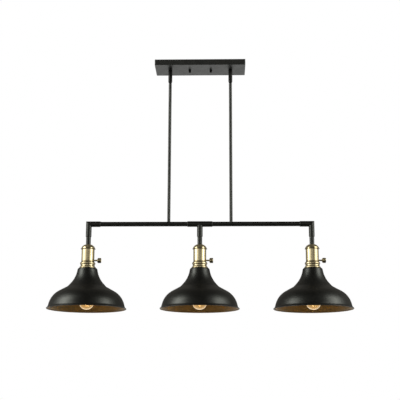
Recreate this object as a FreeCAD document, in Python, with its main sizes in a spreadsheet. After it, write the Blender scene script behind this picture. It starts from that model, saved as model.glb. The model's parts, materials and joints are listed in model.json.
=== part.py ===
import FreeCAD, Part

import math
import os

import Sketcher

# Linear island pendant: three bell shades on a straight bar that hangs by two rods from a long
# ceiling plate. Millimetres. X runs along the bar, Z is up, and the origin is on the ceiling in
# the middle of the plate, so everything hangs below z = 0.

DOC = FreeCAD.newDocument("island_pendant")
SHEET = DOC.addObject("Spreadsheet::Sheet", "Sizes")
VECTOR = FreeCAD.Vector
TURN_TO_X = FreeCAD.Rotation(VECTOR(0, 1, 0), 90)
HALF_TURN = FreeCAD.Rotation(VECTOR(0, 0, 1), 180)


# ---------------------------------------------------------------- sizes

class Size:
    """A size: its value, and the expression in the sheet's words that gives it."""

    def __init__(self, value, text):
        self.value = value
        self.text = text

    def __add__(self, other):
        other = as_size(other)
        return Size(self.value + other.value, f"({self.text} + {other.text})")

    def __sub__(self, other):
        other = as_size(other)
        return Size(self.value - other.value, f"({self.text} - {other.text})")

    def __mul__(self, factor):
        return Size(self.value * factor, f"({self.text} * {factor})")

    def __truediv__(self, factor):
        return Size(self.value / factor, f"({self.text} / {factor})")

    def __neg__(self):
        return Size(-self.value, f"(-{self.text})")


def as_size(number):
    return number if isinstance(number, Size) else Size(float(number), str(float(number)))


def size(name, value):
    """Writes one driving size into the sheet, beside its name, and returns it."""
    row = size.next_row
    size.next_row += 1
    SHEET.set(f"A{row}", name)
    SHEET.set(f"B{row}", str(value))
    SHEET.setAlias(f"B{row}", name)
    return Size(value, f"Sizes.{name}")


size.next_row = 1

# Ceiling plate and what is inside it.
canopy_length = size("canopy_length", 298)
canopy_width = size("canopy_width", 100)
canopy_height = size("canopy_height", 19)
canopy_wall = size("canopy_wall", 1)
canopy_corner = size("canopy_corner", 2)
canopy_fold = size("canopy_fold", 1.2)
bracket_length = size("bracket_length", 115)
bracket_width = size("bracket_width", 22)
bracket_thickness = size("bracket_thickness", 2)
slot_spacing = size("slot_spacing", 88.9)
slot_length = size("slot_length", 11)
slot_width = size("slot_width", 4.5)
stud_spacing = size("stud_spacing", 70)
stud_diameter = size("stud_diameter", 4)
stud_hole_play = size("stud_hole_play", 0.5)
ceiling_gap = size("ceiling_gap", 0.2)
cap_nut_diameter = size("cap_nut_diameter", 7.6)
cap_nut_height = size("cap_nut_height", 9.4)
cap_nut_flange = size("cap_nut_flange", 9.2)
cap_nut_flange_height = size("cap_nut_flange_height", 1.2)
cap_nut_wall = size("cap_nut_wall", 1.9)
ground_screw_place = size("ground_screw_place", 14)
ground_head_diameter = size("ground_head_diameter", 7.5)
ground_head_height = size("ground_head_height", 2.4)
thread_play = size("thread_play", 0.05)

# Ball swivels and rods.
rod_inset = size("rod_inset", 49)
rod_diameter = size("rod_diameter", 10)
rod_wall = size("rod_wall", 1)
rod_entry = size("rod_entry", 6)
swivel_length = size("swivel_length", 45)
swivel_diameter = size("swivel_diameter", 13)
swivel_mouth_diameter = size("swivel_mouth_diameter", 10.4)
swivel_taper = size("swivel_taper", 4.5)
ball_diameter = size("ball_diameter", 10)
ball_play = size("ball_play", 0.05)
ball_height = size("ball_height", 3)
neck_diameter = size("neck_diameter", 4.8)
wireway = size("wireway", 3)
stud_flange_drop = size("stud_flange_drop", 2)
stud_flange_diameter = size("stud_flange_diameter", 9)
stud_flange_height = size("stud_flange_height", 1)
shank_length = size("shank_length", 10)
nipple_in_cup = size("nipple_in_cup", 14)
nipple_in_canopy = size("nipple_in_canopy", 9)
nipple_wall = size("nipple_wall", 1.6)
washer_diameter = size("washer_diameter", 18)
washer_thickness = size("washer_thickness", 1)
swivel_nut_flats = size("swivel_nut_flats", 15)
swivel_nut_height = size("swivel_nut_height", 4)

# Bar, its fittings and the drop tubes.
drop = size("drop", 523)
tube_diameter = size("tube_diameter", 15.2)
tube_wall = size("tube_wall", 1.2)
fitting_diameter = size("fitting_diameter", 18.2)
fitting_bore = size("fitting_bore", 12)
fitting_chamfer = size("fitting_chamfer", 1.3)
fitting_socket = size("fitting_socket", 18)
fitting_play = size("fitting_play", 0.05)
elbow_arm = size("elbow_arm", 38)
tee_length = size("tee_length", 81)
tee_leg_slimming = size("tee_leg_slimming", 0.1)
fitting_leg = size("fitting_leg", 42)
lamp_spacing = size("lamp_spacing", 357)

# Lamp holder: cap, shell, shade ring and the inner works.
cap_drop = size("cap_drop", 68)
cap_top_diameter = size("cap_top_diameter", 20)
cap_shoulder_taper = size("cap_shoulder_taper", 1.3)
cap_shoulder_depth = size("cap_shoulder_depth", 4.6)
cap_shoulder_round = size("cap_shoulder_round", 5)
cap_step = size("cap_step", 1.9)
cap_height = size("cap_height", 13.6)
cap_wall = size("cap_wall", 0.9)
cap_crown = size("cap_crown", 1.8)
cap_seat_diameter = size("cap_seat_diameter", 24.4)
lip_step = size("lip_step", 1.2)
lip_height = size("lip_height", 2.8)
lip_round = size("lip_round", 1)
locknut_flats = size("locknut_flats", 20)
locknut_height = size("locknut_height", 3)
tube_below_cap = size("tube_below_cap", 6)
shell_diameter = size("shell_diameter", 40.8)
shell_wall = size("shell_wall", 1.2)
shell_play = size("shell_play", 0.1)
shell_in_cap = size("shell_in_cap", 5.5)
bead_step = size("bead_step", 0.9)
bead_height = size("bead_height", 2.4)
bead_round = size("bead_round", 0.7)
ring_drop = size("ring_drop", 56.2)
ring_height = size("ring_height", 17.8)
ring_top_step = size("ring_top_step", 1.6)
ring_bead_step = size("ring_bead_step", 1.8)
ring_bead_depth = size("ring_bead_depth", 1.3)
ring_bead_height = size("ring_bead_height", 4.6)
ring_bead_round = size("ring_bead_round", 1.5)
ring_waist_step = size("ring_waist_step", 1.9)
ring_waist_height = size("ring_waist_height", 4.6)
ring_waist_round = size("ring_waist_round", 2.5)
ring_foot_step = size("ring_foot_step", 3.7)
ring_foot_height = size("ring_foot_height", 1.8)
thread_below_shade = size("thread_below_shade", 13)
retainer_flange_step = size("retainer_flange_step", 2.3)
retainer_flange = size("retainer_flange", 1.5)
retainer_height = size("retainer_height", 6)
retainer_hub_step = size("retainer_hub_step", 1.6)
core_play = size("core_play", 0.3)
core_drop = size("core_drop", 8.5)
core_wire_bore = size("core_wire_bore", 8)
core_wire_depth = size("core_wire_depth", 20)
screw_shell_bore = size("screw_shell_bore", 27.6)
screw_shell_wall = size("screw_shell_wall", 0.5)
screw_shell_length = size("screw_shell_length", 25)
core_cavity_depth = size("core_cavity_depth", 26)
contact_hole = size("contact_hole", 11)
contact_diameter = size("contact_diameter", 8)
contact_thickness = size("contact_thickness", 2)

# Rotary switch.
knob_drop = size("knob_drop", 50)
knob_standoff = size("knob_standoff", 10)
knob_diameter = size("knob_diameter", 16)
knob_length = size("knob_length", 12)
knob_back_diameter = size("knob_back_diameter", 9)
knob_back_depth = size("knob_back_depth", 1.6)
knob_back_round = size("knob_back_round", 2.4)
knob_front_round = size("knob_front_round", 1)
knob_dish_diameter = size("knob_dish_diameter", 11)
knob_dish_depth = size("knob_dish_depth", 0.6)
stem_diameter = size("stem_diameter", 5)
stem_in_knob = size("stem_in_knob", 7)
stem_start = size("stem_start", 7)
stem_play = size("stem_play", 0.05)
stem_hole_play = size("stem_hole_play", 0.7)

# Bell shade. Its section runs from the flat top over the neck, the waist and the dome down to a
# skirt with a flared lip. Depths are below the top, and the rounds are those of its corners.
shade_height = size("shade_height", 128)
shade_wall = size("shade_wall", 1)
shade_top_margin = size("shade_top_margin", 4.7)
shade_neck_flare = size("shade_neck_flare", 4.8)
shade_neck_depth = size("shade_neck_depth", 31.7)
shade_waist_flare = size("shade_waist_flare", 25.8)
shade_waist_depth = size("shade_waist_depth", 60)
shade_dome_depth = size("shade_dome_depth", 87.5)
shade_skirt_flare = size("shade_skirt_flare", 10.2)
shade_lip_height = size("shade_lip_height", 2.5)
shade_lip_flare = size("shade_lip_flare", 3.9)
shade_rim_radius = size("shade_rim_radius", 125.4)
shade_top_round = size("shade_top_round", 7)
shade_neck_round = size("shade_neck_round", 84)
shade_waist_round = size("shade_waist_round", 26)
shade_dome_round = size("shade_dome_round", 64)
shade_lip_round = size("shade_lip_round", 9)
shade_hole_play = size("shade_hole_play", 0.1)

# Filament bulb. Depths are below the contact button.
bulb_length = size("bulb_length", 142.5)
bulb_base_diameter = size("bulb_base_diameter", 26.4)
bulb_base_length = size("bulb_base_length", 26)
bulb_base_cone = size("bulb_base_cone", 6.2)
bulb_base_skirt = size("bulb_base_skirt", 7)
bulb_button_diameter = size("bulb_button_diameter", 9)
bulb_button_height = size("bulb_button_height", 1.5)
bulb_neck_radius = size("bulb_neck_radius", 12.5)
bulb_neck_depth = size("bulb_neck_depth", 38)
bulb_neck_round = size("bulb_neck_round", 55)
bulb_radius = size("bulb_radius", 30.5)
bulb_shoulder_depth = size("bulb_shoulder_depth", 91)
bulb_shoulder_round = size("bulb_shoulder_round", 60)
bulb_belly_depth = size("bulb_belly_depth", 114)
bulb_belly_round = size("bulb_belly_round", 30)
bulb_tip_radius = size("bulb_tip_radius", 14.5)
bulb_tip_round = size("bulb_tip_round", 22)
bulb_glass_wall = size("bulb_glass_wall", 0.8)
bulb_glass_play = size("bulb_glass_play", 0.1)
bulb_stem_flare = size("bulb_stem_flare", 0.3)
bulb_stem_flare_height = size("bulb_stem_flare_height", 1.5)
bulb_stem_diameter = size("bulb_stem_diameter", 6)
bulb_stem_length = size("bulb_stem_length", 38)
bulb_stem_head = size("bulb_stem_head", 7.6)
bulb_stem_head_height = size("bulb_stem_head_height", 3)

DOC.recompute()

# Levels and radii that several pieces share.
rod_spacing = canopy_length - rod_inset * 2
canopy_floor = -(canopy_height - canopy_wall)
canopy_underside = -canopy_height
swivel_end = canopy_underside - swivel_length
swing_level = swivel_end + ball_height
ball_bore = ball_diameter + ball_play * 2
nipple_diameter = ball_bore - thread_play * 2
flange_top = swivel_end - stud_flange_drop
rod_top = flange_top - stud_flange_height
bar_level = canopy_underside - drop
fitting_socket_diameter = tube_diameter + fitting_play * 2
cap_top = bar_level - cap_drop
cap_end = cap_top - cap_height
knob_level = cap_top - knob_drop
ring_top = cap_top - ring_drop
shade_top = ring_top - ring_height
shell_end = shade_top - thread_below_shade
shell_bore = shell_diameter - shell_wall * 2
cap_diameter = shell_diameter + cap_step * 2
cap_shoulder_diameter = cap_diameter - cap_shoulder_taper * 2
lip_diameter = cap_diameter + lip_step * 2
bead_diameter = shell_diameter + bead_step * 2
ring_top_diameter = shell_diameter + ring_top_step * 2
ring_waist_diameter = shell_diameter + ring_waist_step * 2
ring_bead_diameter = ring_waist_diameter + ring_bead_step * 2
ring_foot_diameter = ring_waist_diameter + ring_foot_step * 2
retainer_hub_diameter = shell_diameter + retainer_hub_step * 2
retainer_diameter = retainer_hub_diameter + retainer_flange_step * 2
shade_top_radius = ring_foot_diameter / 2 + shade_top_margin
thread_diameter = shell_diameter - shell_wall * 0.7
ring_bore = thread_diameter + thread_play * 2
core_diameter = shell_bore - core_play * 2
core_end = shell_end
cavity_top = core_end + core_cavity_depth
cavity_diameter = screw_shell_bore + screw_shell_wall * 2 + core_play * 2
bulb_top = cavity_top - contact_thickness
knob_back = shell_diameter / 2 + knob_standoff


# ---------------------------------------------------------------- drawing helpers

def body(label, x=0, z=0, rotation=FreeCAD.Rotation()):
    """An empty body at (x, 0, z), for one piece or one group of equal pieces."""
    made = DOC.addObject("PartDesign::Body", label)
    made.Label = label
    made.AllowCompound = True
    x, z = as_size(x), as_size(z)
    made.Placement = FreeCAD.Placement(VECTOR(x.value, 0, z.value), rotation)
    made.setExpression("Placement.Base.x", x.text)
    made.setExpression("Placement.Base.z", z.text)
    return made


def origin_part(owner, role):
    return next(part for part in owner.Origin.OriginFeatures if part.Role == role)


def sketch_on(owner, plane, level=0):
    """A sketch on one of the body's own planes, moved along that plane's normal by level."""
    sketch = owner.newObject("Sketcher::SketchObject", owner.Label + "_sketch")
    sketch.AttachmentSupport = [(origin_part(owner, plane), "")]
    sketch.MapMode = "FlatFace"
    level = as_size(level)
    sketch.AttachmentOffset = FreeCAD.Placement(VECTOR(0, 0, level.value), FreeCAD.Rotation())
    sketch.setExpression("AttachmentOffset.Base.z", level.text)
    return sketch


def dimension(sketch, kind, amount, *where):
    """A driving dimension, bound to the sheet."""
    amount = as_size(amount)
    name = f"{kind}{len(sketch.Constraints)}"
    index = sketch.addConstraint(Sketcher.Constraint(kind, *where, amount.value))
    sketch.renameConstraint(index, name)
    sketch.setExpression(f"Constraints.{name}", amount.text)


def place(sketch, item, point, x, y):
    """Dimensions one point from the sketch's origin; a plain 0 puts it on that axis."""
    if isinstance(x, Size):
        dimension(sketch, "DistanceX", x, -1, 1, item, point)
    else:
        sketch.addConstraint(Sketcher.Constraint("PointOnObject", item, point, -2))
    if isinstance(y, Size):
        dimension(sketch, "DistanceY", y, -1, 1, item, point)
    else:
        sketch.addConstraint(Sketcher.Constraint("PointOnObject", item, point, -1))


def chain(sketch, spots, closed):
    """Draws straight lines from spot to spot, joined at their ends."""
    count = len(spots)
    sides = count if closed else count - 1
    lines = [sketch.addGeometry(Part.LineSegment(spots[side], spots[(side + 1) % count]), False)
             for side in range(sides)]
    for side in range(sides if closed else sides - 1):
        join(sketch, lines[side], 2, lines[(side + 1) % sides], 1)
    return lines


def join(sketch, first, first_end, second, second_end):
    sketch.addConstraint(Sketcher.Constraint("Coincident", first, first_end, second, second_end))


def round_corner(sketch, lines, spots, number, radius):
    """Rounds the corner between two lines of a chain."""
    nearby = [spots[number] + (spots[(number + step) % len(spots)] - spots[number]) * 0.1
              for step in (-1, 1)]
    before, after = lines[number - 1], lines[number]
    sketch.fillet(before, after, *nearby, radius.value, True, True)
    dimension(sketch, "Radius", radius, len(sketch.Geometry) - 2)


def outline(sketch, corners, rounds=None, closed=True):
    """Draws an outline from its corners, with the corners named in rounds rounded off."""
    spots = [VECTOR(as_size(x).value, as_size(y).value, 0) for x, y in corners]
    lines = chain(sketch, spots, closed)
    for number, (x, y) in enumerate(corners):
        if number < len(lines):
            place(sketch, lines[number], 1, x, y)
        else:
            place(sketch, lines[-1], 2, x, y)
    for number, radius in (rounds or {}).items():
        round_corner(sketch, lines, spots, number, radius)
    return lines, spots


def walled(sketch, corners, rounds, wall):
    """Draws a wall of even thickness whose outer side runs through the corners in turn.

    The wall lies to the right of the way from the first corner to the last.
    """
    outer, spots = outline(sketch, corners, rounds, closed=False)
    ways = [(spots[side + 1] - spots[side]).normalize() for side in range(len(outer))]
    rights = [VECTOR(way.y, -way.x, 0) for way in ways]
    before, after = rights[:1] + rights, rights + rights[-1:]
    inner_spots = [spot + (left + right) * (wall.value / (1 + left.dot(right)))
                   for spot, left, right in zip(spots, before, after)]
    inner = chain(sketch, inner_spots, closed=False)
    for outer_line, inner_line in zip(outer, inner):
        sketch.addConstraint(Sketcher.Constraint("Parallel", outer_line, inner_line))
        dimension(sketch, "Distance", wall, inner_line, 1, outer_line)
    for end, number, side in ((1, 0, 0), (2, -1, -1)):
        cap = sketch.addGeometry(Part.LineSegment(spots[number], inner_spots[number]), False)
        join(sketch, cap, 1, outer[side], end)
        join(sketch, cap, 2, inner[side], end)
        sketch.addConstraint(Sketcher.Constraint("Perpendicular", cap, outer[side]))
    for number, radius in rounds.items():
        turn = ways[number - 1].cross(ways[number]).z
        inner_radius = radius - wall if turn < 0 else radius + wall
        round_corner(sketch, inner, inner_spots, number, inner_radius)


def circles(sketch, *rings):
    """Circles, each given as (x, y, diameter)."""
    for x, y, diameter in rings:
        centre = VECTOR(as_size(x).value, as_size(y).value, 0)
        ring = Part.Circle(centre, VECTOR(0, 0, 1), diameter.value / 2)
        item = sketch.addGeometry(ring, False)
        place(sketch, item, 3, x, y)
        dimension(sketch, "Diameter", diameter, item)


def box_corners(length, width):
    half_x, half_y = length / 2, width / 2
    return [(-half_x, -half_y), (half_x, -half_y), (half_x, half_y), (-half_x, half_y)]


def slot(sketch, x, length, width):
    """A slotted hole along the sketch's X axis, centred on x."""
    radius = width / 2
    reach = (length - width) / 2
    left, right = x - reach, x + reach
    quarter = math.pi / 2
    ends = []
    for centre, start in ((right, -quarter), (left, quarter)):
        circle = Part.Circle(VECTOR(centre.value, 0, 0), VECTOR(0, 0, 1), radius.value)
        ends.append(sketch.addGeometry(Part.ArcOfCircle(circle, start, start + math.pi), False))
    high = sketch.addGeometry(Part.LineSegment(
        VECTOR(right.value, radius.value, 0), VECTOR(left.value, radius.value, 0)), False)
    low = sketch.addGeometry(Part.LineSegment(
        VECTOR(left.value, -radius.value, 0), VECTOR(right.value, -radius.value, 0)), False)
    for arc, arc_end, line, line_end in (
            (ends[0], 2, high, 1), (high, 2, ends[1], 1), (ends[1], 2, low, 1), (low, 2, ends[0], 1)):
        sketch.addConstraint(Sketcher.Constraint("Tangent", arc, arc_end, line, line_end))
    place(sketch, ends[0], 3, right, 0)
    place(sketch, ends[1], 3, left, 0)
    sketch.addConstraint(Sketcher.Constraint("Equal", ends[0], ends[1]))
    dimension(sketch, "Radius", radius, ends[0])


def hexagon(sketch, flats):
    """A regular hexagon round the origin, with two of its flats across X."""
    reach = flats.value / math.sqrt(3)
    spots = [VECTOR(reach * math.sin(math.radians(60 * step)),
                    reach * math.cos(math.radians(60 * step)), 0) for step in range(6)]
    circle = Part.Circle(VECTOR(0, 0, 0), VECTOR(0, 0, 1), reach)
    ring = sketch.addGeometry(circle, True)
    sketch.addConstraint(Sketcher.Constraint("Coincident", ring, 3, -1, 1))
    lines = [sketch.addGeometry(Part.LineSegment(spots[step], spots[(step + 1) % 6]), False)
             for step in range(6)]
    for step, line in enumerate(lines):
        after = lines[(step + 1) % 6]
        sketch.addConstraint(Sketcher.Constraint("Coincident", line, 2, after, 1))
        sketch.addConstraint(Sketcher.Constraint("PointOnObject", line, 1, ring))
        if step:
            sketch.addConstraint(Sketcher.Constraint("Equal", lines[0], line))
    sketch.addConstraint(Sketcher.Constraint("PointOnObject", lines[0], 1, -2))
    dimension(sketch, "Radius", flats / math.sqrt(3), ring)


# ---------------------------------------------------------------- solid helpers

def extruded(owner, sketch, length, cut=False, down=False, both_ways=False):
    """A pad, or a pocket if cut, that runs along the sketch's normal or, if down, against it."""
    kind = "PartDesign::Pocket" if cut else "PartDesign::Pad"
    made = owner.newObject(kind, owner.Label + ("_pocket" if cut else "_pad"))
    made.Profile = sketch
    made.Midplane = both_ways
    made.Reversed = down if not cut else not down
    made.Length = length.value
    made.setExpression("Length", length.text)
    return made


def spun(owner, sketch, cut=False):
    """The sketch turned round the body's Z axis, as a solid or, if cut, as a groove."""
    kind = "PartDesign::Groove" if cut else "PartDesign::Revolution"
    made = owner.newObject(kind, owner.Label + ("_groove" if cut else "_turning"))
    made.Profile = sketch
    made.ReferenceAxis = (sketch, ["V_Axis"])
    made.Angle = 360
    return made


def turned(owner, corners, rounds=None):
    """A piece turned round the body's Z axis from the corners of its half section."""
    sketch = sketch_on(owner, "XZ_Plane")
    outline(sketch, corners, rounds)
    return spun(owner, sketch)


def ball(owner, level, radius, cut=False):
    """A ball centred on the body's Z axis, or its seat if cut."""
    sketch = sketch_on(owner, "XZ_Plane")
    centre = VECTOR(0, level.value, 0)
    quarter = math.pi / 2
    ring = Part.Circle(centre, VECTOR(0, 0, 1), radius.value)
    arc = sketch.addGeometry(Part.ArcOfCircle(ring, -quarter, quarter), False)
    reach = VECTOR(0, radius.value, 0)
    axis = sketch.addGeometry(Part.LineSegment(centre - reach, centre + reach), False)
    join(sketch, arc, 1, axis, 1)
    join(sketch, arc, 2, axis, 2)
    for end in (1, 2):
        sketch.addConstraint(Sketcher.Constraint("PointOnObject", arc, end, -2))
    place(sketch, arc, 3, 0, level)
    dimension(sketch, "Radius", radius, arc)
    return spun(owner, sketch, cut)


def repeated(owner, features, span, count):
    """The features again along X, count in all, over span; the body then starts at -span / 2."""
    made = owner.newObject("PartDesign::LinearPattern", owner.Label + "_row")
    made.Originals = features
    made.Direction = (origin_part(owner, "X_Axis"), [""])
    made.Length = span.value
    made.setExpression("Length", span.text)
    made.Occurrences = count
    owner.Tip = made
    return made


def edges(feature, wanted):
    """Names of the feature's edges for which wanted(edge) is true."""
    DOC.recompute()
    return [f"Edge{number}" for number, edge in enumerate(feature.Shape.Edges, 1) if wanted(edge)]


def eased(owner, feature, kind, amount, wanted):
    """A fillet or chamfer on those edges."""
    names = edges(feature, wanted)
    made = owner.newObject(f"PartDesign::{kind}", f"{owner.Label}_{kind.lower()}")
    made.Base = (feature, names)
    amount_name = "Radius" if kind == "Fillet" else "Size"
    made.setExpression(amount_name, amount.text)
    return made


def is_ring(edge, diameter):
    """Whether the edge is a full circle of that diameter."""
    round_edge = isinstance(edge.Curve, Part.Circle) and edge.isClosed()
    return round_edge and abs(edge.Curve.Radius - diameter.value / 2) < 1e-6


def tube(owner, plane, start, length, diameter, wall, down=False):
    sketch = sketch_on(owner, plane, start)
    circles(sketch, (0, 0, diameter), (0, 0, diameter - wall * 2))
    return extruded(owner, sketch, length, down=down)


# ---------------------------------------------------------------- ceiling mount

def canopy():
    """Sheet tray with its open side on the ceiling, drilled for the swivels and the studs."""
    owner = body("canopy")
    plan = sketch_on(owner, "XY_Plane")
    outline(plan, box_corners(canopy_length, canopy_width))
    block = extruded(owner, plan, canopy_height, down=True)
    upright = eased(owner, block, "Fillet", canopy_corner,
                    lambda edge: abs(edge.tangentAt(edge.FirstParameter).z) > 0.9)
    eased(owner, upright, "Fillet", canopy_fold,
          lambda edge: edge.BoundBox.ZMax < canopy_underside.value + 1e-6)
    DOC.recompute()
    inside = sketch_on(owner, "XY_Plane")
    inner = box_corners(canopy_length - canopy_wall * 2, canopy_width - canopy_wall * 2)
    inner_round = canopy_corner - canopy_wall
    outline(inside, inner, {number: inner_round for number in range(1, 4)})
    extruded(owner, inside, canopy_height - canopy_wall, cut=True, down=True)
    holes = sketch_on(owner, "XY_Plane")
    half_rods, half_studs = rod_spacing / 2, stud_spacing / 2
    swivel_hole = nipple_diameter + thread_play * 4
    stud_hole = stud_diameter + stud_hole_play
    circles(holes, (-half_rods, 0, swivel_hole), (half_rods, 0, swivel_hole),
            (-half_studs, 0, stud_hole), (half_studs, 0, stud_hole))
    extruded(owner, holes, canopy_height, cut=True, down=True)


def mounting_bracket():
    """Flat crossbar against the ceiling box, slotted for its screws and tapped for the studs."""
    owner = body("mounting_bracket")
    plan = sketch_on(owner, "XY_Plane")
    outline(plan, box_corners(bracket_length, bracket_width))
    for side in (-1, 1):
        slot(plan, slot_spacing / 2 * side, slot_length, slot_width)
        circles(plan, (stud_spacing / 2 * side, 0, stud_diameter + thread_play * 2))
    circles(plan, (ground_screw_place, 0, stud_diameter + thread_play * 2))
    extruded(owner, plan, bracket_thickness, down=True)


def canopy_studs():
    """Long screws from the crossbar through the canopy into the cap nuts."""
    owner = body("canopy_studs", -(stud_spacing / 2))
    section = sketch_on(owner, "XY_Plane", -ceiling_gap)
    circles(section, (0, 0, stud_diameter))
    into_nut = cap_nut_height - cap_nut_wall - ceiling_gap
    stud = extruded(owner, section, canopy_height - ceiling_gap + into_nut, down=True)
    repeated(owner, [stud], stud_spacing, 2)


def cap_nuts():
    """Domed nuts with a thin flange, tight under the canopy."""
    owner = body("cap_nuts", -(stud_spacing / 2), canopy_underside)
    bore = stud_diameter / 2 + thread_play
    blind = -(cap_nut_height - cap_nut_wall)
    flange, outer = cap_nut_flange / 2, cap_nut_diameter / 2
    corners = [(bore, 0), (flange, 0), (flange, -cap_nut_flange_height),
               (outer, -cap_nut_flange_height), (outer, -cap_nut_height),
               (0, -cap_nut_height), (0, blind), (bore, blind)]
    nut = turned(owner, corners, {4: outer * 0.9})
    repeated(owner, [nut], stud_spacing, 2)


def ground_screw():
    owner = body("ground_screw", ground_screw_place)
    shank, head = stud_diameter / 2, ground_head_diameter / 2
    seat = -bracket_thickness
    end = seat - ground_head_height
    corners = [(0, -ceiling_gap), (shank, -ceiling_gap), (shank, seat), (head, seat),
               (head, end), (0, end)]
    turned(owner, corners, {4: ground_head_height * 0.5})


def swivel_nipples():
    """Hollow threaded nipples that tie the swivel cups to the canopy."""
    owner = body("swivel_nipples", -(rod_spacing / 2))
    length = nipple_in_cup + canopy_wall + nipple_in_canopy
    start = canopy_floor + nipple_in_canopy
    nipple = tube(owner, "XY_Plane", start, length, nipple_diameter, nipple_wall, down=True)
    repeated(owner, [nipple], rod_spacing, 2)


def swivel_washers():
    owner = body("swivel_washers", -(rod_spacing / 2))
    wall = (washer_diameter - nipple_diameter) / 2 - thread_play
    washer = tube(owner, "XY_Plane", canopy_floor, washer_thickness, washer_diameter, wall)
    repeated(owner, [washer], rod_spacing, 2)


def swivel_nuts():
    owner = body("swivel_nuts", -(rod_spacing / 2))
    section = sketch_on(owner, "XY_Plane", canopy_floor + washer_thickness)
    hexagon(section, swivel_nut_flats)
    circles(section, (0, 0, nipple_diameter + thread_play * 2))
    nut = extruded(owner, section, swivel_nut_height)
    repeated(owner, [nut], rod_spacing, 2)


def swivel_cup(label, x):
    """Cup of a hang-straight swivel: bored for the nipple, with a ball seat above a tapered end."""
    owner = body(label, x)
    outer, mouth, bore = swivel_diameter / 2, swivel_mouth_diameter / 2, ball_bore / 2
    corners = [(bore, canopy_underside), (outer, canopy_underside),
               (outer, swivel_end + swivel_taper), (mouth, swivel_end), (0, swivel_end),
               (0, swing_level), (bore, swing_level)]
    turned(owner, corners)
    ball(owner, swing_level, bore, cut=True)


# ---------------------------------------------------------------- hanging frame

def ball_stud(label, x):
    """Hollow ball on a neck, with a flange on the rod's end and a shank inside the rod."""
    owner = body(label, x)
    sphere, neck, way = ball_diameter / 2, neck_diameter / 2, wireway / 2
    flange = stud_flange_diameter / 2
    shank = rod_diameter / 2 - rod_wall - thread_play
    shank_end = rod_top - shank_length
    turned(owner, [(way, swing_level), (neck, swing_level), (neck, flange_top), (flange, flange_top),
                   (flange, rod_top), (shank, rod_top), (shank, shank_end), (way, shank_end)])
    ball(owner, swing_level, sphere)
    bore = sketch_on(owner, "XY_Plane", swing_level)
    circles(bore, (0, 0, wireway))
    extruded(owner, bore, ball_diameter * 2, cut=True, both_ways=True)


def downrod(label, x):
    owner = body(label, x)
    rod_end = bar_level + tube_diameter / 2 - rod_entry
    tube(owner, "XY_Plane", rod_top, rod_top - rod_end, rod_diameter, rod_wall, down=True)


def bar_tube(label, rotation):
    """One half of the bar, from the tee to an elbow, drilled on top for its rod."""
    owner = body(label, 0, bar_level, rotation)
    start = tee_length / 2 - fitting_socket
    end = lamp_spacing - elbow_arm + fitting_socket
    tube(owner, "YZ_Plane", start, end - start, tube_diameter, tube_wall)
    drill = sketch_on(owner, "XY_Plane")
    circles(drill, (rod_spacing / 2, 0, rod_diameter + fitting_play * 2))
    extruded(owner, drill, tube_diameter, cut=True)


def elbow(label, x, rotation):
    """Mitred corner: an arm to the bar and a leg down, each with a stepped socket for its tube."""
    owner = body(label, x, bar_level, rotation)
    spine = sketch_on(owner, "XZ_Plane")
    outline(spine, [(0, 0), (-elbow_arm, 0), (-elbow_arm, -fitting_leg)], closed=False)
    for kind, diameter in (("Additive", fitting_diameter), ("Subtractive", fitting_bore)):
        section = sketch_on(owner, "YZ_Plane")
        circles(section, (0, 0, diameter))
        pipe = owner.newObject(f"PartDesign::{kind}Pipe", f"{label}_{kind.lower()}")
        pipe.Profile = section
        pipe.Spine = spine
        pipe.Transition = "Right corner"
        DOC.recompute()
    arm_socket = sketch_on(owner, "YZ_Plane")
    circles(arm_socket, (0, 0, fitting_socket_diameter))
    extruded(owner, arm_socket, fitting_socket, cut=True, down=True)
    leg_socket = sketch_on(owner, "XY_Plane", -fitting_leg)
    circles(leg_socket, (-elbow_arm, 0, fitting_socket_diameter))
    bored = extruded(owner, leg_socket, fitting_socket, cut=True)
    eased(owner, bored, "Chamfer", fitting_chamfer, lambda edge: is_ring(edge, fitting_diameter))


def centre_tee():
    """Tee in the middle of the bar, with a stepped socket in each of its three ends.

    Its leg and the leg's bore are a hair slimmer than its run's, so they meet along clean seams.
    """
    owner = body("centre_tee", 0, bar_level)
    leg_diameter = fitting_diameter - tee_leg_slimming
    leg_bore = fitting_bore - tee_leg_slimming
    run = sketch_on(owner, "YZ_Plane")
    circles(run, (0, 0, fitting_diameter))
    extruded(owner, run, tee_length, both_ways=True)
    stem = sketch_on(owner, "XY_Plane")
    circles(stem, (0, 0, leg_diameter))
    extruded(owner, stem, fitting_leg, down=True)
    passage = sketch_on(owner, "YZ_Plane")
    circles(passage, (0, 0, fitting_bore))
    extruded(owner, passage, tee_length * 2, cut=True, both_ways=True)
    for side in (-1, 1):
        end = sketch_on(owner, "YZ_Plane", tee_length / 2 * side)
        circles(end, (0, 0, fitting_socket_diameter))
        extruded(owner, end, fitting_socket, cut=True, down=side > 0)
    way_down = sketch_on(owner, "XY_Plane")
    circles(way_down, (0, 0, leg_bore))
    extruded(owner, way_down, fitting_leg, cut=True, down=True)
    stem_socket = sketch_on(owner, "XY_Plane", -fitting_leg)
    circles(stem_socket, (0, 0, fitting_socket_diameter))
    bored = extruded(owner, stem_socket, fitting_socket, cut=True)
    eased(owner, bored, "Chamfer", fitting_chamfer,
          lambda edge: is_ring(edge, fitting_diameter) or is_ring(edge, leg_diameter))


def drop_tube(label, x):
    """Short tube from a fitting's leg into the lamp holder's cap."""
    owner = body(label, x)
    top = bar_level - fitting_leg + fitting_socket
    end = cap_top - tube_below_cap
    tube(owner, "XY_Plane", top, top - end, tube_diameter, tube_wall, down=True)


def cap_locknuts():
    """Nuts on the drop tubes' threaded ends, tight under the tops of the caps."""
    owner = body("cap_locknuts", -lamp_spacing)
    section = sketch_on(owner, "XY_Plane", cap_top - cap_crown)
    hexagon(section, locknut_flats)
    circles(section, (0, 0, tube_diameter + thread_play * 2))
    nut = extruded(owner, section, locknut_height, down=True)
    repeated(owner, [nut], lamp_spacing * 2, 3)


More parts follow.
